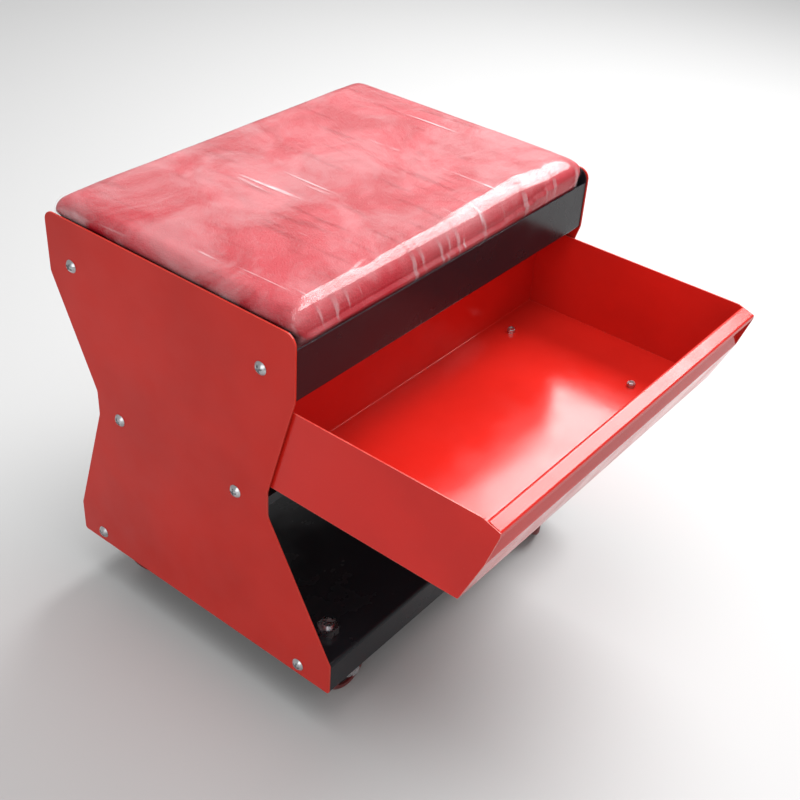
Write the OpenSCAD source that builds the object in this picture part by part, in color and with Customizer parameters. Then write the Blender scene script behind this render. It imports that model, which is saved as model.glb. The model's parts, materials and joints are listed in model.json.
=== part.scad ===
// Rolling work seat: two cut-out side panels, a padded seat in a steel tray,
// a pull-out drawer on telescopic slides, a lower shelf and four swivel casters.
// Millimetres, +Z up, the floor is z = 0. The drawer is drawn pulled out.

/* [Body] */
// Width over the outside of the two side panels
body_w = 400; // [320:5:520]
// Height of the side panels
panel_h = 344; // [330:2:420]
// Depth of the side panels along their top edge
top_depth = 282; // [240:2:360]
// Thickness of the side panel steel
panel_t = 1.5; // [1:0.1:3]
// Thickness of the black steel of the seat tray and the shelves
sheet_t = 1.2; // [0.8:0.1:2]
// How far the waist's front edge stands ahead of the seat's middle
waist_front = 112; // [100:1:120]
// How far the waist's rear edge stands behind the seat's middle
waist_rear = 94; // [90:1:110]
// Length of the short upright edge at the waist
waist_edge = 25; // [20:1:40]
// How far the foot's front edge stands ahead of the seat's middle
foot_front = 184; // [170:1:200]
// How far the foot's rear edge stands behind the seat's middle
foot_rear = 134; // [120:1:160]
// Height of the short upright edge at the foot
foot_edge = 33; // [33:1:50]
// Length of the upright edge below the top corners
top_edge = 58; // [40:1:60]
// Radius of the top corners
corner_r = 10; // [2:1:20]
// Radius that softens the waist corners
waist_r = 14; // [2:1:20]

/* [Seat] */
// Height of the seat tray's front and rear walls
tray_h = 47; // [40:1:60]
// How far the side panels stand above the tray's walls
tray_drop = 13; // [6:1:20]
// How far the cushion's top stands above the side panels
cushion_rise = 14; // [8:1:40]
// Gap between the cushion and the tray's side walls
cushion_side_gap = 7.3; // [6.5:0.1:15]
// Thickness of the plywood board under the foam
board_t = 12; // [9:1:18]
// Thickness of the red cover
cover_t = 1; // [0.8:0.1:1.5]
// Radius of the cushion's upright corners
cushion_r = 9; // [4:1:20]

/* [Drawer] */
// Gap between the drawer and each side panel
drawer_gap = 2; // [1.5:0.1:6]
// Height of the drawer, from its underside to its rim
drawer_h = 85; // [70:1:100]
// Gap between the drawer's rim and the underside of the seat tray
drawer_over = 11.2; // [8:0.1:20]
// Thickness of the drawer steel
drawer_t = 1; // [0.8:0.1:1.5]
// How far the drawer's front leans out over its height
front_lean = 28; // [20:1:34]
// Height of the leaning lower part of the drawer's front
step_h = 45; // [30:1:55]
// Depth of the sloping finger lip
lip_depth = 13; // [8:1:16]
// How far the drawer is pulled out as drawn
drawer_out = 184; // [0:1:184]

/* [Slides] */
// Width of each slide
slide_w = 35; // [35:1:45]
// Distance of each slide from the middle of the seat
slide_x = 131; // [90:1:150]
// Height of the slides, from the shelf to the underside of the drawer
slide_h = 10.8; // [10.8:0.1:16]

/* [Shelves] */
// Height of the middle shelf's side flanges
mid_flange = 24; // [22:1:30]
// Height of the small lips at the middle shelf's front and rear
mid_lip = 9; // [6:1:14]
// Height of the lower shelf's flanges
foot_flange = 31; // [24:1:31]

/* [Casters] */
// Wheel diameter
wheel_d = 50; // [40:1:50]
// Width of the tread
wheel_w = 16; // [12:1:18]
// Distance of the axle from the swivel axis
trail = 22; // [18:1:24]
// Distance of each swivel axis from the lower shelf's edges
caster_inset = 29; // [29:1:60]

/* [Hidden] */
$fn = 48;
eps = 0.01;

// Colours
RED = "#c0392f";
DRAWER_RED = "#c8302a";
BLACK = "#17181b";
ZINC = "#b9bcc0";
TYRE_RED = "#7a2a2c";

// Side panel outline: y of the front (-) and rear (+) edges, z of the kinks.
// These heights are measured up from the panel's bottom edge.
half_top = top_depth / 2;
kink_z = panel_h - top_edge;
inner_x = body_w / 2 - panel_t;

// Seat tray
tray_setback = 1;
tray_y = half_top - tray_setback;
tray_top_z = panel_h - tray_drop;
tray_z = tray_top_z - tray_h;
bend_r = 3;

// Middle shelf, which carries the drawer on its slides just below the top of the waist
edge_setback = 1;
waist_over_shelf = 6;
mid_z = tray_z - drawer_over - drawer_h - slide_h;
waist_top_z = mid_z + waist_over_shelf;
waist_low_z = waist_top_z - waist_edge;
mid_front = -(waist_front - edge_setback);
mid_rear = waist_rear - edge_setback;

// Lower shelf
foot_z = foot_edge - 1;
foot_front_y = -(foot_front - edge_setback);
foot_rear_y = foot_rear - edge_setback;

// Rows of panel screws, as [y, z] pairs. Each row's middle lies a little behind its shelf's middle.
screw_back = 4;
top_back = 3;
row_inset = 32;
top_row = half_top - row_inset;
mid_row = (waist_front + waist_rear) / 2 - row_inset;
foot_row = (foot_front + foot_rear) / 2 - row_inset;
top_screw_up = 17;
mid_screw_drop = 12;
foot_screw_drop = 21;
top_screw_z = tray_z + top_screw_up;
mid_screw_z = mid_z - mid_screw_drop;
foot_screw_z = foot_z - foot_screw_drop;
mid_middle = (waist_rear - waist_front) / 2 + screw_back;
foot_middle = (foot_rear - foot_front) / 2 + screw_back;
SCREWS = [[top_back - top_row, top_screw_z], [top_back + top_row, top_screw_z],
          [mid_middle - mid_row, mid_screw_z], [mid_middle + mid_row, mid_screw_z],
          [foot_middle - foot_row, foot_screw_z], [foot_middle + foot_row, foot_screw_z]];

// M6 panel screws and nuts
m6_d = 6;
m6_hole = 6.4;
m6_head_d = 12;
m6_head_h = 3.4;
m6_nut_af = 10;
m6_nut_h = 5;
screw_end = 0.5;

// Cushion
film_t = 0.3;
film_gap = 0.3;
cushion_end_gap = 1.4;
cushion_x = inner_x - sheet_t - cushion_side_gap;
cushion_y = tray_y - sheet_t - cushion_end_gap;
cushion_top_z = panel_h + cushion_rise;
cover_x = cushion_x - film_gap - film_t;
cover_y = cushion_y - film_gap - film_t;
cover_top_z = cushion_top_z - film_gap - film_t;
cushion_bottom_z = tray_z + sheet_t;
wrap_w = 25;
seat_screw_inset = [80, 51];
seat_screw_x = body_w / 2 - seat_screw_inset[0];
seat_screw_y = half_top - seat_screw_inset[1];
seat_screw_d = 4.5;
seat_head_d = 9;
seat_head_h = 2.6;
board_bite = 9;

// Drawer. Closed, its floor's front edge stands drawer_ahead of the middle shelf's front lip.
drawer_x = inner_x - drawer_gap;
drawer_z = mid_z + slide_h;
drawer_ahead = 4;
slide_inset = 2;
slide_len = mid_rear - mid_front - 2 * slide_inset;
drawer_front_y = mid_front - drawer_ahead - drawer_out;
drawer_back_y = drawer_front_y + slide_len + 1;
front_face_y = drawer_front_y - front_lean + lip_depth;
step_out = 3.5;
lip_y = drawer_front_y - front_lean;
lip_fall = 4.5;
lip_fold = 4.5;

// Slides
s_t = 1.2;
ball_d = 2.8;
ball_gap = 0.3;
lane = ball_d + 2 * ball_gap;
slide_run = 0.3;
cage_t = 0.4;
mid_wall_x = slide_w / 2 - s_t - lane;
in_wall_x = mid_wall_x - s_t - lane;
slide_front_y = mid_front + slide_inset;
cage_len = 60;
cage_lead = 20;
cage_pitch = 9;
cage_balls = 6;
cage_wall = 0.8;
wall_short = 0.6;
ball_drop = 4.4;
ball_z = mid_z + slide_h - ball_drop;
rivet_d = 4;
rivet_head_h = 1.6;
rivet_inset = 30;
m4_d = 4;
m4_hole = 4.3;
m4_head_d = 8;
m4_head_h = 2.2;
m4_nut_af = 7;
m4_nut_h = 4.6;
m4_collar_h = 1.2;
bolt_front = 45;
bolt_rear = slide_len - 21.5;

// Casters, with heights from the underside of the lower shelf's plate, downwards
ground_gap = 50;
plate_under_z = foot_z - sheet_t;
wheel_r = wheel_d / 2;
axle_z = wheel_r - ground_gap - plate_under_z;
m10_nut_af = 17;
m10_nut_h = 8;
stem_proud = 2.5;
stem_d = 10;
stem_hole = 10.4;
collar_h = 8;
race_d = 32;
race_t = 3;
swivel_gap = 3;
race_balls = 12;
race_ring_r = race_d / 2 - 4;
race_ball_d = 2.5;
crown_t = 2.5;
crown_d = 32;
leg_half = 12;
pin_d = 8;
pin_fit = 0.05;
pin_head_d = 14;
pin_head_h = 2.5;
pin_slack = 0.1;
fork_in = wheel_w / 2 + 1.5;
fork_t = 2.5;
axle_d = 6;
axle_fit = 0.06;
eye_r = 9;
eye_fit = 0.05;
axle_nut_af = 10;
axle_nut_h = 4;
axle_head_d = 11;
axle_head_h = 3.5;
hub_d = 16;
hub_side_gap = 0.5;
web_share = 0.7;
tread_t = 6;
tread_fit = 0.05;
shoulder = 3.2;
crown_top = -collar_h - race_t - swivel_gap;
// Corner name, side (x), end (y) and the direction that the wheel trails, in degrees
stem_x = inner_x - caster_inset - 1;
stem_front = foot_front_y + caster_inset;
stem_rear = foot_rear_y - caster_inset;
FL = [-stem_x, stem_front, 0];
FR = [stem_x, stem_front, 212];
RL = [-stem_x, stem_rear, 293];
RR = [stem_x, stem_rear, 290];

// Length of a cutter that passes right through a caster
through = 100;

// The frame's origin is the middle of the floor area under the seat and its open drawer
shift_y = -(lip_y + max(foot_rear, half_top)) / 2;

module place() { translate([0, shift_y, ground_gap]) children(); }

// Points of an arc of radius r that rounds the corner b between a and c
function unit(v) = v / norm(v);
function round_corner(a, b, c, r, n = 6) =
    let (u = unit(a - b), w = unit(c - b), half = acos(u * w) / 2,
         reach = r / tan(half), m = b + unit(u + w) * (r / sin(half)),
         p = b + u * reach - m, q = b + w * reach - m)
    [for (i = [0 : n]) m + r * unit(p * (1 - i / n) + q * (i / n))];

// Solid whose outline is drawn in the Y-Z plane, from x0 to x1
module along_x(x0, x1) {
    translate([x0, 0, 0]) rotate([90, 0, 90]) linear_extrude(x1 - x0) children();
}

// Solid whose outline is drawn in the X-Z plane, from y0 to y1
module along_y(y0, y1) {
    translate([0, y1, 0]) rotate([90, 0, 0]) linear_extrude(y1 - y0) children();
}

module hex(af, h) { cylinder(d = af / cos(30), h = h, $fn = 6); }

// ---- side panels and their fasteners ----

module panel_outline() {
    rear = [[half_top, panel_h], [half_top, kink_z], [waist_rear, waist_top_z],
            [waist_rear, waist_low_z], [foot_rear, foot_edge], [foot_rear, 0]];
    front = [[-foot_front, 0], [-foot_front, foot_edge], [-waist_front, waist_low_z],
             [-waist_front, waist_top_z], [-half_top, kink_z], [-half_top, panel_h]];
    small_r = 3;
    polygon(concat(
        round_corner(front[5], rear[0], rear[1], corner_r),
        round_corner(rear[0], rear[1], rear[2], waist_r),
        round_corner(rear[1], rear[2], rear[3], waist_r),
        round_corner(rear[2], rear[3], rear[4], waist_r),
        round_corner(rear[3], rear[4], rear[5], small_r),
        round_corner(rear[4], rear[5], front[0], small_r),
        round_corner(rear[5], front[0], front[1], small_r),
        round_corner(front[0], front[1], front[2], small_r),
        round_corner(front[1], front[2], front[3], waist_r),
        round_corner(front[2], front[3], front[4], waist_r),
        round_corner(front[3], front[4], front[5], waist_r),
        round_corner(front[4], front[5], rear[0], corner_r)));
}

// Round holes for the panel screws, through everything on one side
module panel_holes(side) {
    for (s = SCREWS)
        translate([side * inner_x, s[0], s[1]]) rotate([0, 90, 0])
            cylinder(d = m6_hole, h = 2 * (panel_t + sheet_t) + 2, center = true);
}

module side_panel(side) {
    color(RED) place() difference() {
        along_x(side > 0 ? inner_x : -body_w / 2, side > 0 ? body_w / 2 : -inner_x) panel_outline();
        panel_holes(side);
    }
}

// Screw with a pan head, its seat at z = 0, a cross recess and a shank that runs down by reach
module pan_screw(d, head_d, head_h, reach) {
    crown_r = head_d * 0.62;
    recess_w = head_d / 7;
    recess_l = head_d * 0.6;
    recess_z = head_h * 0.4;
    difference() {
        union() {
            rotate_extrude() intersection() {
                translate([0, head_h - crown_r]) circle(r = crown_r);
                square([head_d / 2, head_h]);
            }
            translate([0, 0, -reach]) cylinder(d = d, h = reach + eps);
        }
        for (a = [0, 90]) rotate(a)
            translate([-recess_l / 2, -recess_w / 2, recess_z]) cube([recess_l, recess_w, head_h]);
    }
}

module panel_screws(side) {
    reach = panel_t + sheet_t + m6_nut_h + screw_end;
    turns = [20, 65, 5, 40, 80, 50];
    color(ZINC) place() for (i = [0 : len(SCREWS) - 1])
        translate([side * body_w / 2, SCREWS[i][0], SCREWS[i][1]]) rotate([0, side * 90, 0])
            rotate(turns[i]) pan_screw(m6_d, m6_head_d, m6_head_h, reach);
}

module panel_nuts(side) {
    color(ZINC) place() for (s = SCREWS)
        translate([side * (inner_x - sheet_t), s[0], s[1]]) rotate([0, -side * 90, 0]) difference() {
            hex(m6_nut_af, m6_nut_h);
            translate([0, 0, -1]) cylinder(d = m6_d, h = m6_nut_h + 2);
        }
}

// ---- seat ----

// Section of a channel of width w and height h, open upwards, with round bends
module channel(w, h, t, r) {
    difference() {
        channel_fill(w, h, r);
        translate([0, t]) channel_fill(w - 2 * t, h, r - t);
    }
}

module channel_fill(w, h, r) {
    translate([-w / 2 + r, 0]) square([w - 2 * r, h]);
    translate([-w / 2, r]) square([w, h - r]);
    for (s = [-1, 1]) translate([s * (w / 2 - r), r]) circle(r = r);
}

// Outline of the tray's side flanges, which rise almost to the top of the side panels
module tray_flange() {
    top = tray_h + tray_drop - edge_setback;
    low_rear = [tray_y, 0];
    top_rear = [tray_y, top];
    top_front = [-tray_y, top];
    low_front = [-tray_y, 0];
    polygon(concat(
        round_corner(low_rear, top_rear, top_front, corner_r),
        round_corner(top_rear, top_front, low_front, corner_r),
        round_corner(top_front, low_front, low_rear, bend_r),
        round_corner(low_front, low_rear, top_rear, bend_r)));
}

module seat_pan() {
    color(BLACK) place() difference() {
        union() {
            translate([0, 0, tray_z]) along_x(-inner_x, inner_x)
                channel(2 * tray_y, tray_h, sheet_t, bend_r);
            for (s = [-1, 1]) translate([0, 0, tray_z])
                along_x(s > 0 ? inner_x - sheet_t : -inner_x, s > 0 ? inner_x : sheet_t - inner_x)
                    tray_flange();
        }
        for (s = [-1, 1]) panel_holes(s);
        seat_screw_places() translate([0, 0, -2]) cylinder(d = seat_screw_d + 0.4, h = sheet_t + 4);
    }
}

// Places of the screws that hold the cushion, at the tray's underside
module seat_screw_places() {
    for (x = [-seat_screw_x, seat_screw_x], y = [-seat_screw_y, seat_screw_y])
        translate([x, y, tray_z]) children();
}

module seat_screws() {
    reach = sheet_t + cover_t + board_bite;
    color(ZINC) place() seat_screw_places() rotate([180, 0, 0])
        pan_screw(seat_screw_d, seat_head_d, seat_head_h, reach);
}

// Upright block with round corners: half sizes x and y, between two heights
module block(x, y, z0, z1, r) {
    translate([0, 0, z0]) linear_extrude(z1 - z0) union() {
        square([2 * (x - r), 2 * y], center = true);
        square([2 * x, 2 * (y - r)], center = true);
        for (a = [-1, 1], b = [-1, 1]) translate([a * (x - r), b * (y - r)]) circle(r = r);
    }
}

module seat_board() {
    z0 = cushion_bottom_z + cover_t;
    color("#b08a5a") place() difference() {
        block(cover_x - cover_t, cover_y - cover_t, z0, z0 + board_t, cushion_r - cover_t - film_t);
        seat_screw_places() cylinder(d = seat_screw_d, h = sheet_t + cover_t + board_bite);
    }
}

module seat_foam() {
    color("#e8dfae") place() block(cover_x - cover_t, cover_y - cover_t,
        cushion_bottom_z + cover_t + board_t, cover_top_z - cover_t, cushion_r - cover_t - film_t);
}

module seat_cover() {
    inner_r = cushion_r - cover_t - film_t;
    color("#c92a45") place() difference() {
        block(cover_x, cover_y, cushion_bottom_z, cover_top_z, cushion_r - film_t);
        block(cover_x - cover_t, cover_y - cover_t, cushion_bottom_z + cover_t,
              cover_top_z - cover_t, inner_r);
        block(cover_x - wrap_w, cover_y - wrap_w, cushion_bottom_z - 1,
              cushion_bottom_z + 2 * cover_t, inner_r);
    }
}

// Clear shrink film over the cushion's top and sides, down to the tray's bends
module seat_film() {
    color([1, 0.9, 0.92, 0.35]) place() difference() {
        block(cushion_x, cushion_y, cushion_bottom_z + bend_r, cushion_top_z, cushion_r);
        block(cover_x + film_gap, cover_y + film_gap, cushion_bottom_z - 1,
              cushion_top_z - film_t, cushion_r - film_t);
    }
}

// ---- shelves ----

module mid_shelf() {
    w = 2 * inner_x;
    color(BLACK) place() difference() {
        union() {
            translate([-inner_x, mid_front, mid_z - sheet_t]) cube([w, mid_rear - mid_front, sheet_t]);
            for (x = [-inner_x, inner_x - sheet_t])
                translate([x, mid_front, mid_z - mid_flange])
                    cube([sheet_t, mid_rear - mid_front, mid_flange]);
            for (y = [mid_front, mid_rear - sheet_t])
                translate([-inner_x, y, mid_z - mid_lip]) cube([w, sheet_t, mid_lip]);
        }
        for (s = [-1, 1]) panel_holes(s);
        rivet_places() translate([0, 0, -sheet_t - 1]) cylinder(d = rivet_d, h = sheet_t + 2);
    }
}

module bottom_shelf() {
    depth = foot_rear_y - foot_front_y;
    middle = (foot_rear_y + foot_front_y) / 2;
    color(BLACK) place() difference() {
        union() {
            translate([0, middle, foot_z]) rotate([180, 0, 0])
                along_x(-inner_x, inner_x) channel(depth, foot_flange, sheet_t, bend_r);
            for (s = [-1, 1]) translate([0, middle, foot_z]) rotate([180, 0, 0])
                along_x(s > 0 ? inner_x - sheet_t : -inner_x, s > 0 ? inner_x : sheet_t - inner_x)
                    channel_fill(depth, foot_flange, bend_r);
        }
        for (s = [-1, 1]) panel_holes(s);
        for (c = [FL, FR, RL, RR]) at_caster(c)
            translate([0, 0, -1]) cylinder(d = stem_hole, h = sheet_t + 2);
    }
}

// ---- drawer ----

// Heights in these outlines are measured from the drawer's underside
module drawer_section() {
    t = drawer_t;
    low = [drawer_front_y, 0];
    step = [front_face_y - step_out, step_h];
    rim = [front_face_y, drawer_h];
    // floor and back wall
    translate(low) square([drawer_back_y - drawer_front_y, t]);
    translate([drawer_back_y - t, 0]) square([t, drawer_h]);
    // lower front leaning out to the kink, upper front leaning back a little to the rim
    polygon([low, low + [t, 0], step + [t, 0], rim + [t, 0], rim, step]);
}

module drawer_tray() {
    color(DRAWER_RED) place() translate([0, 0, drawer_z]) difference() {
        union() {
            along_x(drawer_t - drawer_x, drawer_x - drawer_t) drawer_section();
            along_x(-drawer_x, drawer_x) drawer_lip();
        }
        bolt_places() cylinder(d = m4_hole, h = 3 * drawer_t, center = true);
    }
}

// The lip and its folded edge, which also cap the drawer's sides
module drawer_lip() {
    t = drawer_t;
    f = front_face_y;
    polygon([[f + t, drawer_h], [f + t, drawer_h - t], [lip_y + t, drawer_h - lip_fall - t],
             [lip_y + t, drawer_h - lip_fall - lip_fold], [lip_y, drawer_h - lip_fall - lip_fold],
             [lip_y, drawer_h - lip_fall], [f, drawer_h]]);
}

module drawer_side(side) {
    t = drawer_t;
    f = front_face_y;
    z_tip = drawer_h - lip_fall;
    color(DRAWER_RED) place() translate([0, 0, drawer_z])
        along_x(side > 0 ? drawer_x - t : -drawer_x, side > 0 ? drawer_x : t - drawer_x)
            polygon([[drawer_back_y, 0], [drawer_back_y, drawer_h],
                     [f + t, drawer_h], [f + t, drawer_h - t],
                     [lip_y + t, z_tip - t], [lip_y + t, z_tip - lip_fold],
                     [lip_y, z_tip - lip_fold], [f - step_out, step_h], [drawer_front_y, 0]]);
}

// Places of the bolts that hold the drawer to its slides, in the drawer's own heights
module bolt_places() {
    for (x = [-slide_x, slide_x], y = [bolt_front, bolt_rear])
        translate([x, drawer_front_y + y, 0]) children();
}

module drawer_bolts() {
    reach = s_t + drawer_t + m4_nut_h - m4_collar_h / 2;
    color(ZINC) place() translate([0, 0, drawer_z]) bolt_places()
        translate([0, 0, -s_t]) rotate([180, 0, 0]) pan_screw(m4_d, m4_head_d, m4_head_h, reach);
}

// Nylon-insert lock nuts
module drawer_nuts() {
    color(ZINC) place() translate([0, 0, drawer_z + drawer_t]) bolt_places() difference() {
        union() {
            hex(m4_nut_af, m4_nut_h - m4_collar_h);
            cylinder(d = m4_nut_af - cage_wall, h = m4_nut_h);
        }
        translate([0, 0, -1]) cylinder(d = m4_d, h = m4_nut_h + 2);
    }
}

// ---- slides ----

module at_slide(side) { translate([side * slide_x, 0, 0]) children(); }

module rivet_places() {
    for (s = [-1, 1], y = [rivet_inset, slide_len - rivet_inset])
        translate([s * slide_x, slide_front_y + y, mid_z]) children();
}

module slide_rivets() {
    color(ZINC) place() rivet_places() {
        translate([0, 0, -sheet_t]) cylinder(d = rivet_d, h = sheet_t + s_t);
        translate([0, 0, -sheet_t - rivet_head_h]) cylinder(d = 2 * rivet_d, h = rivet_head_h);
    }
}

// Outer member, riveted to the middle shelf and open upwards
module slide_outer(side) {
    h = slide_h - s_t;
    color(ZINC) place() difference() {
        at_slide(side) translate([0, 0, mid_z]) along_y(slide_front_y, slide_front_y + slide_len) {
            translate([-slide_w / 2, 0]) square([slide_w, s_t]);
            for (x = [-slide_w / 2, slide_w / 2 - s_t]) translate([x, 0]) square([s_t, h]);
        }
        rivet_places() translate([0, 0, -1]) cylinder(d = rivet_d, h = s_t + 2);
    }
}

// Middle member, which travels half as far as the drawer
module slide_middle(side) {
    z0 = s_t + 2 * slide_run + cage_t;
    y0 = slide_front_y - drawer_out / 2;
    color(ZINC) place() at_slide(side) translate([0, 0, mid_z]) along_y(y0, y0 + slide_len) {
        translate([-mid_wall_x, z0]) square([2 * mid_wall_x, s_t]);
        for (x = [-mid_wall_x, mid_wall_x - s_t])
            translate([x, z0]) square([s_t, slide_h - s_t - wall_short - z0]);
    }
}

// Inner member, bolted under the drawer and open downwards
module slide_inner(side) {
    drop = slide_h - (2 * s_t + 4 * slide_run + 2 * cage_t);
    y0 = slide_front_y - drawer_out;
    color(ZINC) place() difference() {
        at_slide(side) translate([0, 0, mid_z + slide_h]) along_y(y0, y0 + slide_len) {
            translate([-in_wall_x, -s_t]) square([2 * in_wall_x, s_t]);
            for (x = [-in_wall_x, in_wall_x - s_t]) translate([x, -drop]) square([s_t, drop]);
        }
        translate([0, 0, drawer_z]) bolt_places() cylinder(d = m4_hole, h = 3 * s_t, center = true);
    }
}

// Ball cage: a thin channel whose walls run in the two lanes, with its balls.
// x is the outside of the wall that the lane lies against, z its floor and top the top of its walls.
module ball_cage(x, z, top, y) {
    lane_x = x + lane / 2;
    color("#8d9196") {
        difference() {
            translate([0, 0, z]) along_y(y - cage_len / 2, y + cage_len / 2) {
                translate([-lane_x - cage_wall / 2, 0]) square([2 * lane_x + cage_wall, cage_t]);
                for (s = [-1, 1]) translate([s * lane_x - cage_wall / 2, 0]) square([cage_wall, top - z]);
            }
            cage_places(lane_x, y) rotate([0, 90, 0])
                cylinder(d = ball_d + ball_gap, h = lane, center = true);
        }
        cage_places(lane_x, y) sphere(d = ball_d, $fn = 24);
    }
}

module cage_places(lane_x, y) {
    for (s = [-1, 1], i = [0 : cage_balls - 1])
        translate([s * lane_x, y + (i - (cage_balls - 1) / 2) * cage_pitch, ball_z]) children();
}

// The outer cage travels a quarter as far as the drawer, the inner cage three quarters
module slide_outer_cage(side) {
    y = slide_front_y + slide_len / 2 - cage_lead / 2 - drawer_out / 4;
    place() at_slide(side)
        ball_cage(mid_wall_x, mid_z + s_t + slide_run, mid_z + slide_h - s_t - wall_short, y);
}

module slide_inner_cage(side) {
    y = slide_front_y + slide_len / 2 - cage_lead / 2 - drawer_out * 3 / 4;
    z = mid_z + 2 * s_t + 3 * slide_run + cage_t;
    place() at_slide(side) ball_cage(in_wall_x, z, mid_z + slide_h - s_t - wall_short, y);
}

// ---- casters ----

// Moves to one caster's swivel axis, at the underside of the lower shelf's plate
module at_caster(c) { translate([c[0], c[1], plate_under_z]) children(); }

module caster_nuts() {
    color(ZINC) place() for (c = [FL, FR, RL, RR]) at_caster(c) translate([0, 0, sheet_t]) difference() {
        hex(m10_nut_af, m10_nut_h);
        translate([0, 0, -1]) cylinder(d = stem_d, h = m10_nut_h + 2);
    }
}

// Ball ring of each swivel, between the race and the fork's crown
module caster_balls() {
    color(ZINC) place() for (c = [FL, FR, RL, RR]) at_caster(c)
        for (i = [0 : race_balls - 1]) rotate(i * 360 / race_balls)
            translate([race_ring_r, 0, crown_top + swivel_gap / 2]) sphere(d = race_ball_d, $fn = 24);
}

// Threaded stem, hexagon collar, race and king pin
module caster_stem(c) {
    under = crown_top - crown_t - pin_slack;
    color(ZINC) place() at_caster(c) {
        cylinder(d = stem_d, h = sheet_t + m10_nut_h + stem_proud);
        translate([0, 0, -collar_h]) hex(m10_nut_af, collar_h);
        translate([0, 0, -collar_h - race_t]) cylinder(d = race_d, h = race_t);
        translate([0, 0, under - 1]) cylinder(d = pin_d, h = -under + 1);
        translate([0, 0, under - pin_head_h]) cylinder(d = pin_head_d, h = pin_head_h);
    }
}

// Crown and two legs of pressed steel, with the wheel trailing along +X
module caster_fork(c) {
    color(ZINC) place() at_caster(c) rotate(c[2]) difference() {
        union() {
            translate([0, 0, crown_top - crown_t]) cylinder(d = crown_d, h = crown_t);
            translate([-leg_half, -fork_in - fork_t, crown_top - crown_t])
                cube([2 * leg_half, 2 * (fork_in + fork_t), crown_t]);
            for (y = [-fork_in - fork_t, fork_in]) along_y(y, y + fork_t) {
                polygon([[-leg_half, crown_top], [leg_half, crown_top],
                         [trail + eye_r, axle_z], [trail - eye_r, axle_z]]);
                translate([trail, axle_z]) circle(r = eye_r);
            }
        }
        cylinder(d = pin_d + 2 * pin_fit, h = through, center = true);
        translate([trail, 0, axle_z]) rotate([90, 0, 0])
            cylinder(d = axle_d + 2 * eye_fit, h = through, center = true);
    }
}

module caster_axle(c) {
    w = fork_in + fork_t;
    color(ZINC) place() at_caster(c) rotate(c[2]) translate([trail, 0, axle_z]) rotate([90, 0, 0]) {
        cylinder(d = axle_d, h = 2 * w + 1, center = true);
        translate([0, 0, w]) hex(axle_nut_af, axle_nut_h);
        translate([0, 0, -w - axle_head_h]) cylinder(d = axle_head_d, h = axle_head_h);
    }
}

// Wheel body with its long hub
module caster_hub(c) {
    color("#26262a") place() at_caster(c) rotate(c[2]) translate([trail, 0, axle_z]) rotate([90, 0, 0])
        difference() {
            union() {
                cylinder(d = hub_d, h = 2 * (fork_in - hub_side_gap), center = true);
                cylinder(r = wheel_r - tread_t - tread_fit, h = wheel_w * web_share, center = true);
            }
            cylinder(d = axle_d + 2 * axle_fit, h = through, center = true);
        }
}

// Tread, crowned towards its edges
module caster_tyre(c) {
    h = wheel_w / 2;
    color(TYRE_RED) place() at_caster(c) rotate(c[2]) translate([trail, 0, axle_z]) rotate([90, 0, 0])
        rotate_extrude($fn = 64) difference() {
            translate([wheel_r - tread_t, -h]) square([tread_t, wheel_w]);
            for (s = [-1, 1]) translate([wheel_r, s * h]) rotate(45) square(shoulder, center = true);
        }
}

side_panel(-1);  // side_panel_left
side_panel(1);  // side_panel_right
seat_pan();
seat_board();
seat_foam();
seat_cover();
seat_film();
seat_screws();
mid_shelf();
bottom_shelf();
panel_screws(-1);  // panel_screws_left
panel_screws(1);  // panel_screws_right
panel_nuts(-1);  // panel_nuts_left
panel_nuts(1);  // panel_nuts_right
drawer_tray();
drawer_side(-1);  // drawer_side_left
drawer_side(1);  // drawer_side_right
drawer_bolts();
drawer_nuts();
slide_outer(-1);  // slide_outer_left
slide_middle(-1);  // slide_middle_left
slide_inner(-1);  // slide_inner_left
slide_outer_cage(-1);  // slide_outer_cage_left
slide_inner_cage(-1);  // slide_inner_cage_left
slide_outer(1);  // slide_outer_right
slide_middle(1);  // slide_middle_right
slide_inner(1);  // slide_inner_right
slide_outer_cage(1);  // slide_outer_cage_right
slide_inner_cage(1);  // slide_inner_cage_right
slide_rivets();
caster_nuts();
caster_balls();
caster_stem(FL);  // caster_stem_fl
caster_fork(FL);  // caster_fork_fl
caster_axle(FL);  // caster_axle_fl
caster_hub(FL);  // caster_hub_fl
caster_tyre(FL);  // caster_tyre_fl
caster_stem(FR);  // caster_stem_fr
caster_fork(FR);  // caster_fork_fr
caster_axle(FR);  // caster_axle_fr
caster_hub(FR);  // caster_hub_fr
caster_tyre(FR);  // caster_tyre_fr
caster_stem(RL);  // caster_stem_rl
caster_fork(RL);  // caster_fork_rl
caster_axle(RL);  // caster_axle_rl
caster_hub(RL);  // caster_hub_rl
caster_tyre(RL);  // caster_tyre_rl
caster_stem(RR);  // caster_stem_rr
caster_fork(RR);  // caster_fork_rr
caster_axle(RR);  // caster_axle_rr
caster_hub(RR);  // caster_hub_rr
caster_tyre(RR);  // caster_tyre_rr
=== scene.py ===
"""Looks for a rolling work seat with a drawer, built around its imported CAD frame.

Metres, in the row frame: +X to the right, +Y to the rear, +Z up, the floor at z = 0.
The drawer is pulled out towards -Y.
"""
import json
import math

import bmesh
import bpy
from mathutils import Matrix, Vector, noise


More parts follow.
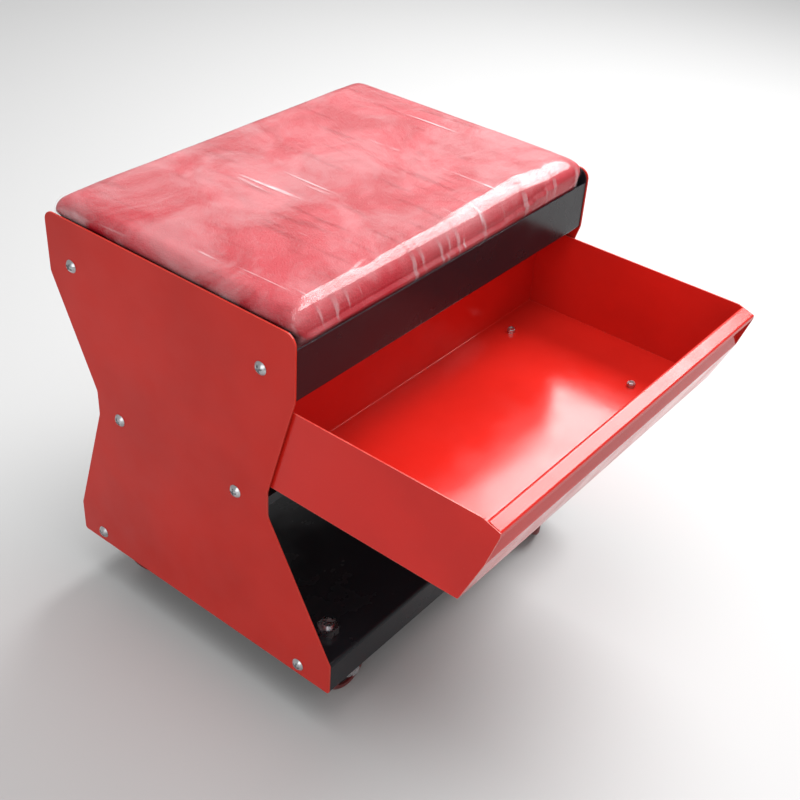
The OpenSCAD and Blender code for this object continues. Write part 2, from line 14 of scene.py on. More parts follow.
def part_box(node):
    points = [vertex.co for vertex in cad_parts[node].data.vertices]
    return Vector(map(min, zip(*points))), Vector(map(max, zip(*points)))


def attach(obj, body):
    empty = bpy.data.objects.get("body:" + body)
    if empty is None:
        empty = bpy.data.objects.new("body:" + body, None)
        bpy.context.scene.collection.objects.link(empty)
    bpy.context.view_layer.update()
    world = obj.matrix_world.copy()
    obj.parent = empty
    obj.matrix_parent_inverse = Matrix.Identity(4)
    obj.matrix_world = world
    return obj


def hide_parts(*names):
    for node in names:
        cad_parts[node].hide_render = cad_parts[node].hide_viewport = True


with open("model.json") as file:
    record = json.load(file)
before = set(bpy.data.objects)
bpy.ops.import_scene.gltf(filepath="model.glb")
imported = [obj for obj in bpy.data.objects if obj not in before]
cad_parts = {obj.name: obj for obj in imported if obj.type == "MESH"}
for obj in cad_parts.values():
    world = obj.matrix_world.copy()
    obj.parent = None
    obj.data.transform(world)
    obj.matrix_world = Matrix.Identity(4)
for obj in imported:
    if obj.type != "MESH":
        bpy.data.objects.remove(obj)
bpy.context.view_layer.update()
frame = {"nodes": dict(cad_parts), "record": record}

MM = 0.001
SIDES = ("left", "right")

# ---- camera, floor and light ----

CAMERA_AT = Vector((-0.7425, -0.5441, 0.8648))
CAMERA_AZIMUTH = math.radians(-53.59)
CAMERA_ELEVATION = math.radians(35.36)
CAMERA_ROLL = math.radians(4.16)
LENS_MM = 54.97
SENSOR_MM = 36.0


def make_camera():
    """The camera, from its place, its azimuth and elevation, and a roll about its own axis."""
    az, el, roll = CAMERA_AZIMUTH, CAMERA_ELEVATION, CAMERA_ROLL
    back = Vector((math.sin(az) * math.cos(el), -math.cos(az) * math.cos(el), math.sin(el)))
    level = Vector((math.cos(az), math.sin(az), 0))
    top = back.cross(level)
    right = level * math.cos(roll) + top * math.sin(roll)
    up = top * math.cos(roll) - level * math.sin(roll)
    data = bpy.data.cameras.new("camera")
    data.lens = LENS_MM
    data.sensor_width = SENSOR_MM
    data.clip_start = 0.01
    camera = bpy.data.objects.new("camera", data)
    camera.matrix_world = Matrix.Translation(CAMERA_AT) @ Matrix((right, up, back)).transposed().to_4x4()
    bpy.context.scene.collection.objects.link(camera)
    bpy.context.scene.camera = camera


def area_light(name, at, size, power):
    """A white rectangular light that faces the seat's middle."""
    data = bpy.data.lights.new(name, "AREA")
    data.shape = "RECTANGLE"
    data.size, data.size_y = size
    data.energy = power
    light = bpy.data.objects.new(name, data)
    aim = (Vector(LIGHT_TARGET) - Vector(at)).normalized()
    light.matrix_world = Matrix.Translation(at) @ aim.to_track_quat("-Z", "Y").to_matrix().to_4x4()
    bpy.context.scene.collection.objects.link(light)


# Name, place, width and height in metres, watts
LIGHTS = (
    ("overhead", (-0.2, -0.3, 1.9), (1.3, 1.3), 19),
    ("key_box", (1.43, -0.02, 1.69), (1.65, 0.85), 62),
    ("backdrop_box", (1.65, 1.25, 1.15), (1.9, 0.8), 4),
    ("left_fill", (-1.8, -0.6, 0.9), (1.2, 1.2), 8),
)
LIGHT_TARGET = (0, -0.05, 0.30)
WORLD_STRENGTH = 0.52
FLOOR_REACH = 6.0
FLOOR_WHITE = (0.50, 0.50, 0.50)


def make_studio():
    """Four soft lights, an even white surround and a plain pale floor."""
    for name, at, size, watts in LIGHTS:
        area_light(name, at, size, watts)
    world = bpy.data.worlds.new("studio")
    world.use_nodes = True
    world.node_tree.nodes["Background"].inputs["Color"].default_value = (1, 1, 1, 1)
    world.node_tree.nodes["Background"].inputs["Strength"].default_value = WORLD_STRENGTH
    bpy.context.scene.world = world
    bpy.context.scene.view_settings.view_transform = "Standard"
    mesh = bpy.data.meshes.new("floor")
    far = FLOOR_REACH
    mesh.from_pydata([(-far, -far, 0), (far, -far, 0), (far, far, 0), (-far, far, 0)], [], [(0, 1, 2, 3)])
    floor = bpy.data.objects.new("floor", mesh)
    bpy.context.scene.collection.objects.link(floor)
    look = Look("floor_white", FLOOR_WHITE, roughness=0.8)
    floor.data.materials.append(look.material)


# ---- materials ----

PANEL_RED = (0.560, 0.0170, 0.0090)
DRAWER_RED = (0.620, 0.0170, 0.0110)
VINYL_RED = (0.340, 0.006, 0.015)
# Pale blotches painted into the vinyl: the film's milky haze and its reflection of the white surroundings.
VINYL_PAINTED_HAZE = (0.400, 0.018, 0.030)
# How milky the film is drawn: partly its own haze where it stands off, partly painted reflection of the
# white surroundings, set apart for the top, the left side and the front.
FILM_LEVEL_HAZE_AND_REFLECTION = 0.02
# Strength of the painted glints: pale streaks along the film's wrinkles.
FILM_PAINTED_GLINT = 0.55
# Strength of the painted highlights down the side pleats.
FILM_PLEAT_SHEEN = 0.14
FILM_TOP_HAZE_AND_REFLECTION = (0.075, 0.075, 0.075)
FILM_LEFT_HAZE_AND_REFLECTION = (0.11, 0.11, 0.11)
FILM_FRONT_HAZE_AND_REFLECTION = (0.03, 0.03, 0.03)
# Painted shade in the pits of the pebble grain.
VINYL_PIT_SHADE = (0.250, 0.004, 0.010)


class Look:
    """One procedural material: a Principled shader and the nodes that feed it."""

    def __init__(self, name, color, roughness, metallic=0.0, **sockets):
        self.material = bpy.data.materials.new(name)
        self.material.use_nodes = True
        self.tree = self.material.node_tree
        self.tree.nodes.clear()
        self.output = self.node("ShaderNodeOutputMaterial")
        self.shader = self.node("ShaderNodeBsdfPrincipled")
        self.tree.links.new(self.shader.outputs[0], self.output.inputs["Surface"])
        self.set("Base Color", (*color, 1.0))
        self.set("Roughness", roughness)
        self.set("Metallic", metallic)
        for key, value in sockets.items():
            self.set(key.replace("_", " "), value)
        self.coordinates = self.node("ShaderNodeTexCoord").outputs["Object"]
        self.normal = None

    def node(self, kind, **inputs):
        made = self.tree.nodes.new(kind)
        for key, value in inputs.items():
            self.feed(made.inputs[key.replace("_", " ")], value)
        return made

    def feed(self, socket, value):
        if isinstance(value, bpy.types.NodeSocket):
            self.tree.links.new(value, socket)
        else:
            socket.default_value = value

    def set(self, name, value):
        self.feed(self.shader.inputs[name], value)

    def stretched(self, stretch, offset=(0, 0, 0)):
        """Object coordinates, scaled along the axes and moved, to tell one pattern from another."""
        mapping = self.node("ShaderNodeMapping", Vector=self.coordinates, Scale=stretch, Location=offset)
        return mapping.outputs[0]

    def noise(self, scale, detail=3.0, rough=0.5, stretch=(1, 1, 1), offset=(0, 0, 0), twist=0.0):
        made = self.node("ShaderNodeTexNoise", Vector=self.stretched(stretch, offset), Scale=scale,
                         Detail=detail, Roughness=rough, Distortion=twist)
        return made.outputs["Fac"]

    def cells(self, scale, feature="F1", stretch=(1, 1, 1), offset=(0, 0, 0)):
        made = self.node("ShaderNodeTexVoronoi", Vector=self.stretched(stretch, offset), Scale=scale)
        made.feature = feature
        return made.outputs["Distance"]

    def spread(self, value, low, high, to_low=0.0, to_high=1.0):
        """value between low and high, spread over to_low to to_high with soft ends."""
        made = self.tree.nodes.new("ShaderNodeMapRange")
        made.interpolation_type = "SMOOTHSTEP"
        for key, number in (("Value", value), ("From Min", low), ("From Max", high),
                            ("To Min", to_low), ("To Max", to_high)):
            self.feed(made.inputs[key], number)
        return made.outputs[0]

    def math(self, operation, a, b=0.0):
        made = self.tree.nodes.new("ShaderNodeMath")
        made.operation = operation
        self.feed(made.inputs[0], a)
        self.feed(made.inputs[1], b)
        return made.outputs[0]

    def mix(self, share, a, b):
        made = self.tree.nodes.new("ShaderNodeMix")
        made.data_type = "RGBA"
        for key, value in ((0, share), (6, a), (7, b)):
            self.feed(made.inputs[key], (*value, 1.0) if isinstance(value, tuple) else value)
        return made.outputs[2]

    def bump(self, height, strength, depth):
        made = self.node("ShaderNodeBump", Height=height, Strength=strength, Distance=depth)
        if self.normal is not None:
            self.tree.links.new(self.normal, made.inputs["Normal"])
        self.normal = made.outputs[0]
        self.set("Normal", self.normal)

    def edges(self, radius):
        """1 on sharp edges, falling to 0 at that radius from them."""
        bevel = self.node("ShaderNodeBevel", Radius=radius)
        bevel.samples = 6
        flat = self.node("ShaderNodeNewGeometry").outputs["Normal"]
        dot = self.tree.nodes.new("ShaderNodeVectorMath")
        dot.operation = "DOT_PRODUCT"
        self.tree.links.new(bevel.outputs[0], dot.inputs[0])
        self.tree.links.new(flat, dot.inputs[1])
        return self.spread(dot.outputs["Value"], 0.99, 0.75)


def powder_coat(name, color, pale, roughness, peel, shine, coat=0.0):
    """Powder coat: an orange-peel skin, faint clouding, thin pale edges that are partly wear and partly
    painted highlight, and a little dust.
    """
    look = Look(name, color, roughness, Specular_IOR_Level=shine, Coat_Weight=coat, Coat_Roughness=0.16)
    cloud = look.spread(look.noise(9.0, 4.0), 0.3, 0.7)
    darker = tuple(0.86 * c for c in color)
    tone = look.mix(cloud, darker, color)
    # Pale patchy edges: partly worn coat, partly a painted edge highlight.
    patchy = look.spread(look.noise(240.0, 3.0), 0.35, 0.6, 0.35, 0.8)
    edge_wear_and_highlight = look.math("MULTIPLY", look.edges(0.9 * MM), patchy)
    tone = look.mix(edge_wear_and_highlight, tone, pale)
    dust = look.spread(look.noise(900.0, 2.0, offset=(3, 1, 2)), 0.70, 0.80, 0.0, 0.25)
    look.set("Base Color", look.mix(dust, tone, pale))
    look.set("Roughness", look.spread(look.noise(30.0, 4.0, offset=(5, 5, 5)), 0.3, 0.7,
                                      roughness - 0.05, roughness + 0.07))
    look.bump(look.noise(900.0, 2.0, 0.4), peel, 0.3 * MM)
    return look.material


def plated_steel(name, color, roughness, grain=(1, 1, 1)):
    """Zinc-plated steel: faint rolling lines, blotchy lustre and dull spots."""
    look = Look(name, color, roughness, metallic=1.0)
    blotch = look.spread(look.noise(60.0, 5.0, 0.6), 0.35, 0.65)
    dark = tuple(0.72 * c for c in color)
    look.set("Base Color", look.mix(blotch, dark, color))
    look.set("Roughness", look.spread(look.noise(140.0, 4.0, offset=(2, 7, 1)), 0.3, 0.7,
                                      roughness - 0.08, roughness + 0.14))
    look.bump(look.noise(420.0, 3.0, 0.5, stretch=grain), 0.12, 0.0004)
    return look.material


def moulded(name, color, roughness, grain=1400.0):
    """Moulded plastic or rubber: a fine matt grain and slight clouding."""
    look = Look(name, color, roughness)
    cloud = look.spread(look.noise(80.0, 4.0), 0.3, 0.7)
    scuffed = tuple(min(1.0, 1.5 * c + 0.02) for c in color)
    tone = look.mix(cloud, color, tuple(0.8 * c for c in color))
    look.set("Base Color", look.mix(look.math("MULTIPLY", look.edges(0.0012), 0.5), tone, scuffed))
    look.bump(look.noise(grain, 2.0), 0.15, 0.0003)
    return look.material


def plywood(name):
    """Plywood: long grain lines along X and darker pores."""
    look = Look(name, (0.52, 0.34, 0.18), 0.7)
    grain = look.noise(60.0, 5.0, 0.6, stretch=(0.12, 1, 1), twist=0.6)
    look.set("Base Color", look.mix(look.spread(grain, 0.35, 0.65), (0.40, 0.25, 0.12), (0.60, 0.42, 0.24)))
    look.bump(grain, 0.2, 0.0005)
    return look.material


def foam(name):
    """Open-cell foam: small round cells, with painted shade in their hollows."""
    look = Look(name, (0.78, 0.70, 0.42), 0.95)
    cells = look.cells(700.0)
    # The cells' hollows are painted darker: painted shade.
    look.set("Base Color", look.mix(look.spread(cells, 0.1, 0.6), (0.60, 0.50, 0.26), (0.82, 0.75, 0.48)))
    look.bump(cells, 0.5, 0.0008)
    return look.material


def vinyl(name):
    """Red upholstery vinyl: a small pebble grain with painted shade in its pits, faint cross ribs and pale
    blotches of painted film haze and reflection, under a clear gloss.
    """
    look = Look(name, VINYL_RED, 0.45, Specular_IOR_Level=0.12,
                Coat_Weight=0.5, Coat_Roughness=0.07, Coat_IOR=1.5)
    # Pale blotches: painted reflection of the milky film, not the vinyl's own colour.
    blotch = look.spread(look.noise(14.0, 5.0, 0.55, twist=0.8), 0.44, 0.58)
    grain = look.cells(620.0)
    tone = look.mix(blotch, VINYL_PAINTED_HAZE, VINYL_RED)
    # Darker where the grain dips: painted shade in its pits.
    look.set("Base Color", look.mix(look.spread(grain, 0.0, 0.5, 0.7, 0.0), tone, VINYL_PIT_SHADE))
    look.bump(grain, 0.5, 0.0005)
    look.bump(look.noise(260.0, 3.0, stretch=(0.25, 1, 1)), 0.4, 0.0006)
    return look.material


def clear_film(name):
    """Shrink film: clear where it clings, milky where it stands off, with painted glints, painted
    highlights on its pleats, and painted reflection that differs between top, left side and front.
    """
    look = Look(name, (0.86, 0.70, 0.72), 0.11, Specular_IOR_Level=0.35)
    cling = look.spread(look.noise(13.0, 8.0, 0.68, twist=0.5), 0.38, 0.64)
    flat = look.tree.nodes.new("ShaderNodeSeparateXYZ")
    look.tree.links.new(look.node("ShaderNodeNewGeometry").outputs["Normal"], flat.inputs[0])
    level = look.spread(flat.outputs["Z"], 0.25, 0.85)
    leftward = look.spread(flat.outputs["X"], -0.3, -0.8)
    # Milkiness chosen by which way the face points: partly the film's haze, partly painted reflection of
    # the surroundings.
    haze_and_painted_reflection = look.mix(level, look.mix(leftward, FILM_FRONT_HAZE_AND_REFLECTION, FILM_LEFT_HAZE_AND_REFLECTION), FILM_TOP_HAZE_AND_REFLECTION)
    # Painted glints: pale streaks along Y, in patches, where wrinkles would catch the light.
    long_noise = look.noise(95.0, 2.0, 0.5, stretch=(1, 0.045, 0.2), offset=(4, 4, 4))
    streaks = look.spread(long_noise, 0.66, 0.74)
    patches = look.spread(look.noise(11.0, 3.0, 0.5, offset=(9, 2, 5)), 0.48, 0.60)
    painted_glints = look.math("MULTIPLY", look.math("MULTIPLY", streaks, patches), FILM_PAINTED_GLINT)
    alpha = look.math("ADD", look.math("MULTIPLY", cling, haze_and_painted_reflection), painted_glints)
    # Painted highlights on the pleats: pale upright streaks on the film's sides only.
    upright_noise = look.noise(150.0, 2.0, 0.5, stretch=(1, 0.08, 0.08), offset=(1, 6, 2))
    pleats = look.spread(upright_noise, 0.58, 0.68)
    upright = look.math("SUBTRACT", 1.0, level)
    painted_pleat_sheen = look.math("MULTIPLY", look.math("MULTIPLY", pleats, upright), FILM_PLEAT_SHEEN)
    alpha = look.math("ADD", alpha, painted_pleat_sheen)
    # Even milkiness over the top faces: painted reflection of the backdrop, with some haze.
    look.set("Alpha", look.math("ADD", alpha, look.math("MULTIPLY", level, FILM_LEVEL_HAZE_AND_REFLECTION)))
    look.bump(look.noise(90.0, 3.0, 0.6, stretch=(1, 0.12, 0.3)), 0.4, 0.0010)
    return look.material


# ---- mesh helpers ----

SHARP_ANGLE = math.radians(40)


def add_object(name, mesh, material, body, smooth_angle=35.0):
    """A piece of its own, which rides on a body."""
    made = bpy.data.objects.new(name, mesh)
    bpy.context.scene.collection.objects.link(made)
    made.data.materials.clear()
    made.data.materials.append(material)
    if smooth_angle:
        mesh.shade_smooth()
        mesh.set_sharp_from_angle(angle=math.radians(smooth_angle))
    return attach(made, body)


def applied(name, mesh, *modifiers):
    """The mesh with modifiers applied, each given as its type and its settings."""
    holder = bpy.data.objects.new(name, mesh)
    bpy.context.scene.collection.objects.link(holder)
    for kind, settings in modifiers:
        modifier = holder.modifiers.new(kind.lower(), kind)
        for key, value in settings.items():
            setattr(modifier, key, value)
    result = bpy.data.meshes.new_from_object(holder.evaluated_get(bpy.context.evaluated_depsgraph_get()))
    result.name = name
    bpy.data.objects.remove(holder)
    return result


def arc_line(points, radii, steps=6):
    """Points of an open line in a plane whose inner corners are rounded by the radii."""
    line = [Vector(points[0])]
    for i, radius in enumerate(radii, 1):
        before, corner, after = (Vector(points[i + k]) for k in (-1, 0, 1))
        u, w = (before - corner).normalized(), (after - corner).normalized()
        half = u.angle(w) / 2
        middle = corner + (u + w).normalized() * (radius / math.sin(half))
        reach = radius / math.tan(half)
        start, end = corner + u * reach - middle, corner + w * reach - middle
        for k in range(steps + 1):
            share = k / steps
            line.append(middle + (start * (1 - share) + end * share).normalized() * radius)
    line.append(Vector(points[-1]))
    return line


def softened(width):
    """A narrow bevel on the sharp edges only."""
    return "BEVEL", dict(width=width, segments=2, limit_method="ANGLE", angle_limit=SHARP_ANGLE)


def bent_sheet(name, points, radii, t, x0, x1, soft=0.0002):
    """A bent steel sheet of thickness t: its middle follows a line in the Y-Z plane, from x0 to x1."""
    line = arc_line(points, radii)
    bm = bmesh.new()
    rows = [[bm.verts.new((x, p.x, p.y)) for p in line] for x in (x0, x1)]
    for i in range(len(line) - 1):
        bm.faces.new((rows[0][i], rows[0][i + 1], rows[1][i + 1], rows[1][i]))
    bmesh.ops.recalc_face_normals(bm, faces=bm.faces)
    mesh = bpy.data.meshes.new(name)
    bm.to_mesh(mesh)
    bm.free()
    mesh.shade_smooth()
    return applied(name, mesh,
                   ("SOLIDIFY", dict(thickness=t, offset=0.0, use_even_offset=True)),
                   softened(soft),
                   ("WEIGHTED_NORMAL", dict(weight=100)))


def plate(name, outline, t, x_mid, soft=0.0003):
    """A flat plate in the Y-Z plane around x_mid, with softened edges."""
    bm = bmesh.new()
    bm.faces.new([bm.verts.new((x_mid, y, z)) for y, z in outline])
    mesh = bpy.data.meshes.new(name)
    bm.to_mesh(mesh)
    bm.free()
    mesh.shade_smooth()
    return applied(name, mesh,
                   ("SOLIDIFY", dict(thickness=t, offset=0.0)),
                   softened(soft),
                   ("WEIGHTED_NORMAL", dict(weight=100)))


# ---- cushion ----

TRAY_LOW, TRAY_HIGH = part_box("seat_pan")
COVER_LOW, COVER_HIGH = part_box("seat_cover")
FILM_LOW, FILM_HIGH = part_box("seat_film")
PANEL_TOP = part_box("side_panel_left")[1][2]
PANEL_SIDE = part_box("side_panel_right")[1][0]
WALL_TOP = PANEL_TOP - 13 * MM

# The pad before it swells, and how much of the swelling is kept
PAD_EDGE_R = 8 * MM
PAD_SWELL = 0.8 * MM
PAD_VOXEL = 4 * MM
SWELL_FRAMES = 20
SWELL_INWARD = 0.3 * MM
SWELL_CAP = 6 * MM
SWELL_SHARE = 0.6
CROWN_SHARE = 0.5
PINNED_BELOW = 24 * MM

# The finished pad: sunk corners and rims, a flattened crown and rolled edges
CORNER_DROP = 2.5 * MM
RIM_DROP = 0.6 * MM
DIMPLE_DEPTH = 0.4 * MM
CROWN_FLATTEN = 0.70
CROWN_DEPTH = 7 * MM
FRONT_ROLL = 21 * MM
FRONT_ROLL_RIGHT = 8 * MM
SIDE_ROLL = 10 * MM
PAD_SIDE = PANEL_SIDE - 3.8 * MM
PAD_REACH = PANEL_SIDE - 1.0 * MM
PAD_FRONT, PAD_REAR = FILM_LOW[1] + 0.9 * MM, FILM_HIGH[1] - 0.9 * MM

# Room between the soft pieces and the steel around them
FILM_ROOM = 0.7 * MM
NUTS_BELOW = PANEL_TOP - 28 * MM
SIDE_ROOM = 1.6 * MM
NUT_ROOM = 7.4 * MM
WALL_ROOM = 1.2 * MM
ABOVE_WALL_ROOM = -0.5 * MM

# The film: where it ends, its thickness and how far it stands off the vinyl, in millimetres
FILM_END = FILM_LOW[2] + 9 * MM
FILM_T = 0.08 * MM
LEAST_STAND_OFF = 0.25 * MM
STAND_OFF = 0.55
CORNER_STAND_OFF = 1.0
CORNER_SAG = 0.9
PLEAT_LEFT, PLEAT_RIGHT_MORE = 0.35, 0.75
FINE_PLEAT = 0.30
TOP_WRINKLE = 0.22


def pad_start():
    """The foam pad before it is wrapped: a block with round edges."""
    bm = bmesh.new()
    bmesh.ops.create_cube(bm, size=1.0)
    low = Vector(COVER_LOW)
    high = Vector(COVER_HIGH) - Vector((0, 0, PAD_SWELL))
    for v in bm.verts:
        v.co = Vector((high[i] if v.co[i] > 0 else low[i]) for i in range(3))
    upper = [e for e in bm.edges if all(v.co.z > low.z + 1e-6 for v in e.verts)]
    upright = [e for e in bm.edges if abs(e.verts[0].co.z - e.verts[1].co.z) > 1e-6]
    bmesh.ops.bevel(bm, geom=upper + upright, offset=PAD_EDGE_R, segments=5, profile=0.5, affect="EDGES")
    mesh = bpy.data.meshes.new("pad_start")
    bm.to_mesh(mesh)
    bm.free()
    return applied("pad", mesh, ("REMESH", dict(mode="VOXEL", voxel_size=PAD_VOXEL)))


def swell(mesh, low_z):
    """Inflates a pad by cloth simulation, held below low_z, and returns how each point moved."""
    holder = bpy.data.objects.new("swelling", mesh)
    bpy.context.scene.collection.objects.link(holder)
    group = holder.vertex_groups.new(name="held")
    group.add([v.index for v in mesh.vertices if v.co.z < low_z], 1.0, "REPLACE")
    cloth = holder.modifiers.new("cloth", "CLOTH")
    settings = cloth.settings
    settings.quality = 4
    settings.mass = 0.25
    settings.tension_stiffness = settings.compression_stiffness = 12
    settings.shear_stiffness = 6
    settings.bending_stiffness = 1.5
    settings.use_pressure = True
    settings.uniform_pressure_force = 4.0
    settings.vertex_group_mass = "held"
    settings.effector_weights.gravity = 0
    cloth.point_cache.frame_start, cloth.point_cache.frame_end = 1, SWELL_FRAMES
    scene = bpy.context.scene
    for step in range(1, SWELL_FRAMES + 1):
        scene.frame_set(step)
    shaped = bpy.data.meshes.new_from_object(holder.evaluated_get(bpy.context.evaluated_depsgraph_get()))
    moves = [b.co - a.co for a, b in zip(mesh.vertices, shaped.vertices)]
    bpy.data.objects.remove(holder)
    scene.frame_set(1)
    return moves


def kept_in_tray(co, clear):
    """Keeps a point inside the tray's walls and clear of the nuts on its sides."""
    side = (SIDE_ROOM if co.z > NUTS_BELOW else NUT_ROOM) + clear
    co.x = max(TRAY_LOW[0] + side, min(TRAY_HIGH[0] - side, co.x))
    wall = (WALL_ROOM if co.z < WALL_TOP + 1 * MM else ABOVE_WALL_ROOM) + clear
    co.y = max(TRAY_LOW[1] + wall, min(TRAY_HIGH[1] - wall, co.y))


def step_up(value, low, high):
    """0 below low, 1 above high, with a smooth rise between them."""
    share = max(0.0, min(1.0, (value - low) / (high - low)))
    return share * share * (3 - 2 * share)


def roll_edge(co):
    """Rounds the pad's front and side rims: the front's is wide, and tight only at its right end."""
    top = FILM_HIGH[2] - FILM_ROOM
    right_end = step_up(co.x, 0.04, 0.18)
    radius = FRONT_ROLL * (1 - right_end) + FRONT_ROLL_RIGHT * right_end
    rim = Vector((radius - (co.y - PAD_FRONT), co.z - (top - radius)))
    if min(rim) > 0 and rim.length > radius:
        rim = rim.normalized() * radius
        co.y, co.z = PAD_FRONT + radius - rim.x, top - radius + rim.y
    rim = Vector((SIDE_ROLL - (PAD_SIDE - abs(co.x)), co.z - (top - SIDE_ROLL)))
    if min(rim) > 0 and rim.length > SIDE_ROLL:
        rim = rim.normalized() * SIDE_ROLL
        co.x = math.copysign(PAD_SIDE - SIDE_ROLL + rim.x, co.x)
        co.z = top - SIDE_ROLL + rim.y


def fill_out(mesh, centre):
    """Draws the pad's rim out over the panels and up to the wrap's front and rear."""
    reach = [max(abs(v.co[i] - centre[i]) for v in mesh.vertices) for i in (0, 1)]
    target = (PAD_REACH, (PAD_REAR - PAD_FRONT) / 2)
    for v in mesh.vertices:
        over = (step_up(v.co.z, PANEL_TOP - 9 * MM, PANEL_TOP + 1 * MM),
                step_up(v.co.z, WALL_TOP - 2 * MM, WALL_TOP + 4 * MM))
        for i in (0, 1):
            away = v.co[i] - centre[i]
            share = min(1.0, abs(away) / reach[i]) ** 9
            v.co[i] += math.copysign((target[i] - reach[i]) * over[i] * share, away)


def make_cushion():
    """The vinyl-covered pad: swollen by simulation, then trimmed to the tray, panels and wrap."""
    mesh = pad_start()
    moves = swell(mesh, COVER_LOW[2] + PINNED_BELOW)
    half = (Vector(COVER_HIGH) - Vector(COVER_LOW)) / 2
    centre = (Vector(COVER_HIGH) + Vector(COVER_LOW)) / 2
    for v, normal, move in zip(mesh.vertices, [v.normal.copy() for v in mesh.vertices], moves):
        outward = move.dot(normal)
        move = move - normal * (outward - max(-SWELL_INWARD, outward))
        move = move * min(1.0, SWELL_CAP / max(move.length, 1e-9))
        v.co += Vector((move.x, move.y, move.z * CROWN_SHARE)) * SWELL_SHARE
        share = step_up(v.co.z, COVER_LOW[2] + PINNED_BELOW, PANEL_TOP)
        across = min(1.0, abs(v.co.x - centre.x) / half.x)
        along = min(1.0, abs(v.co.y - centre.y) / half.y)
        v.co.z -= share * (CORNER_DROP * (across * along) ** 9 + RIM_DROP * max(across, along) ** 4)
        v.co.z += share * DIMPLE_DEPTH * noise.noise(v.co * 14)
    mesh = applied("cushion", mesh, ("SMOOTH", dict(iterations=1, factor=0.5)),
                   ("SUBSURF", dict(levels=1, render_levels=1)))
    fill_out(mesh, centre)
    too_high = max(v.co.z for v in mesh.vertices) - (FILM_HIGH[2] - FILM_ROOM)
    for v in mesh.vertices:
        v.co.z -= too_high * step_up(v.co.z, COVER_LOW[2] + PINNED_BELOW, PANEL_TOP)
        sunk = FILM_HIGH[2] - FILM_ROOM - v.co.z
        v.co.z += sunk * max(0.0, CROWN_FLATTEN - sunk / CROWN_DEPTH)
        roll_edge(v.co)
        kept_in_tray(v.co, FILM_ROOM)
    cushion = add_object("cushion", mesh, VINYL, "chassis", smooth_angle=180)
    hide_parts("seat_cover", "seat_foam")
    return cushion


def ripple(co, normal, corner):
    """How far the film stands off the vinyl: pleats down the sides, drawn wrinkles and loose corners."""
    upright = 1 - min(1.0, abs(normal.z) * 1.4)
    along = co.x if abs(normal.y) > abs(normal.x) else co.y
    right_end = max(0.0, min(1.0, (co.x + 0.02) / 0.17))
    pleat = noise.noise(Vector((along * 105, 1.7, co.z * 14)))
    fine = noise.noise(Vector((along * 230, 8.1, co.z * 30)))
    side = upright * ((PLEAT_LEFT + PLEAT_RIGHT_MORE * right_end) * pleat + FINE_PLEAT * fine)
    flat = (1 - upright) * TOP_WRINKLE * noise.noise(Vector((co.x * 90, co.y * 9, 3.3)))
    sags = CORNER_SAG * corner * noise.noise(co * 60)
    return (STAND_OFF + side + flat + CORNER_STAND_OFF * corner + sags) * MM


def make_film(cushion):
    """Clear shrink film over the cushion's top and sides: the cushion's own skin, stood off and rippled."""
    bm = bmesh.new()
    bm.from_mesh(cushion.data)
    below = [f for f in bm.faces if f.calc_center_median().z < FILM_END]
    bmesh.ops.delete(bm, geom=below, context="FACES")
    bm.normal_update()
    half_x, half_y = FILM_HIGH[0], (FILM_HIGH[1] - FILM_LOW[1]) / 2
    mid_y = (FILM_HIGH[1] + FILM_LOW[1]) / 2
    places = []
    for v in bm.verts:
        corner = (abs(v.co.x) / half_x * min(1.0, abs(v.co.y - mid_y) / half_y)) ** 14
        corner = min(1.0, corner * 1.5)
        places.append(v.co + v.normal * max(LEAST_STAND_OFF, ripple(v.co, v.normal, corner)))
    for v, place in zip(bm.verts, places):
        v.co = place
        v.co.z = min(v.co.z, FILM_HIGH[2] - 0.05 * MM)
        kept_in_tray(v.co, 0.2 * MM)
    mesh = bpy.data.meshes.new("film")
    bm.to_mesh(mesh)
    bm.free()
    mesh = applied("cushion_film", mesh, ("SOLIDIFY", dict(thickness=FILM_T, offset=0.0)))
    film = add_object("cushion_film", mesh, FILM, "chassis", smooth_angle=180)
    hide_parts("seat_film")


# ---- drawer ----

DRAWER_LOW, DRAWER_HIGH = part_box("drawer_tray")
DRAWER_T = 1.0 * MM
FRONT_LEAN = 28 * MM
LIP_DEPTH = 13 * MM
KINK_OUT = 3.5 * MM
KINK_UP = 45 * MM
LIP_FALL = 4.5 * MM
LIP_FOLD = 4.5 * MM

# Bend radii at the sheet's middle: back's foot, floor's front, front's kink, lip's top, lip's fold
TRAY_BENDS = tuple(r * MM for r in (1.6, 1.6, 5, 2.6, 1.7))
SIDE_START = 4 * MM
SIDE_ROUNDS = tuple(r * MM for r in (0.3, 1.8, 0.2, 0.3, 0.3, 0.3, 5, 1.8, 1.6))


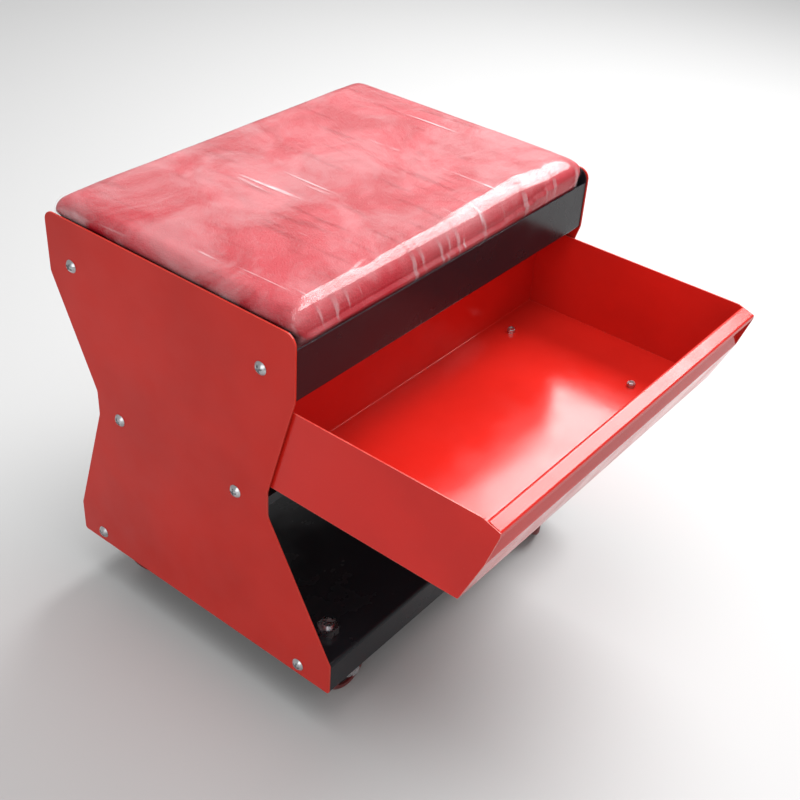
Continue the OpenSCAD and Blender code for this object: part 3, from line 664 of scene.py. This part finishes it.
def make_drawer():
    """The drawer as bent and welded sheets: floor, back and front in one, and two side walls."""
    h = DRAWER_T / 2
    low, back, tip = DRAWER_LOW[2], DRAWER_HIGH[1], DRAWER_LOW[1]
    top = DRAWER_HIGH[2]
    foot_y = tip + FRONT_LEAN
    rim_y = tip + LIP_DEPTH
    kink = (rim_y - KINK_OUT, low + KINK_UP)
    middle = [(back - h, top - h), (back - h, low + h), (foot_y + h / 2, low + h), (kink[0] + h, kink[1]),
              (rim_y + h, top - h), (tip + h, top - LIP_FALL - h), (tip + h, top - LIP_FALL - LIP_FOLD)]
    tray = bent_sheet("drawer_tray_steel", middle, TRAY_BENDS,
                      DRAWER_T, DRAWER_LOW[0] + DRAWER_T, DRAWER_HIGH[0] - DRAWER_T)
    tray = add_object("drawer_tray_steel", tray, RED_DRAWER, "drawer", smooth_angle=0)
    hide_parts("drawer_tray")
    start = (back, low + SIDE_START)
    outline = [start, (back, top), (rim_y + DRAWER_T, top), (rim_y + 2 * h, top - h),
               (tip + h, top - LIP_FALL - h), (tip, top - LIP_FALL - h), (tip, top - LIP_FALL - LIP_FOLD),
               kink, (foot_y, low), (back, low), start]
    outline = [(p.x, p.y) for p in arc_line(outline, SIDE_ROUNDS, 4)[1:]]
    for side in SIDES:
        name = "drawer_side_" + side
        box_low, box_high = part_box(name)
        wall = plate(name + "_steel", outline, DRAWER_T, (box_low[0] + box_high[0]) / 2)
        wall = add_object(name + "_steel", wall, RED_DRAWER, "drawer", smooth_angle=0)
        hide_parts(name)


# ---- the materials of this seat ----

make_camera()
make_studio()

RED_PANEL = powder_coat("red_panel_paint", PANEL_RED, (0.62, 0.16, 0.11), 0.38, 0.12, 0.25)
RED_DRAWER = powder_coat("red_drawer_paint", DRAWER_RED, (0.75, 0.24, 0.19), 0.17, 0.14, 0.24, coat=0.16)
BLACK = powder_coat("black_paint", (0.013, 0.013, 0.016), (0.10, 0.10, 0.11), 0.22, 0.05, 0.22)
ZINC = plated_steel("zinc_steel", (0.66, 0.67, 0.69), 0.28)
SLIDE = plated_steel("slide_steel", (0.52, 0.53, 0.55), 0.36, grain=(1, 0.05, 1))
CASTER = plated_steel("caster_zinc", (0.60, 0.61, 0.63), 0.30)
HUB = moulded("hub_plastic", (0.022, 0.022, 0.024), 0.5)
TREAD = moulded("red_tread", (0.16, 0.016, 0.016), 0.42)
PLY = plywood("plywood")
FOAM = foam("foam")
VINYL = vinyl("red_vinyl")
FILM = clear_film("clear_film")

BY_SLOT = {"red_panel_paint": RED_PANEL, "red_drawer_paint": RED_DRAWER, "black_paint": BLACK,
           "zinc_steel": ZINC, "slide_steel": SLIDE, "caster_zinc": CASTER, "hub_plastic": HUB,
           "red_tread": TREAD, "plywood": PLY, "foam": FOAM, "red_vinyl": VINYL, "clear_film": FILM}
SHEETS = ("side_panel_left", "side_panel_right", "seat_pan", "mid_shelf", "bottom_shelf")


def dress_cad_nodes():
    """Gives every CAD node the finish of its material slot, and the steel sheets soft edges."""
    for part in frame["record"]["subparts"]:
        node = frame["nodes"][part["node"]]
        node.data.materials.clear()
        node.data.materials.append(BY_SLOT[part["material_slot"]])
        if part["node"] in SHEETS:
            weld = node.modifiers.new("weld", "WELD")
            weld.merge_threshold = 0.01 * MM
            flat = node.modifiers.new("flat", "DECIMATE")
            flat.decimate_type = "DISSOLVE"
            flat.angle_limit = math.radians(1)
            soft = node.modifiers.new("soft", "BEVEL")
            soft.width = 0.3 * MM
            soft.segments = 2
            soft.limit_method = "ANGLE"
            soft.angle_limit = SHARP_ANGLE
            soft.harden_normals = True


dress_cad_nodes()
make_film(make_cushion())
make_drawer()
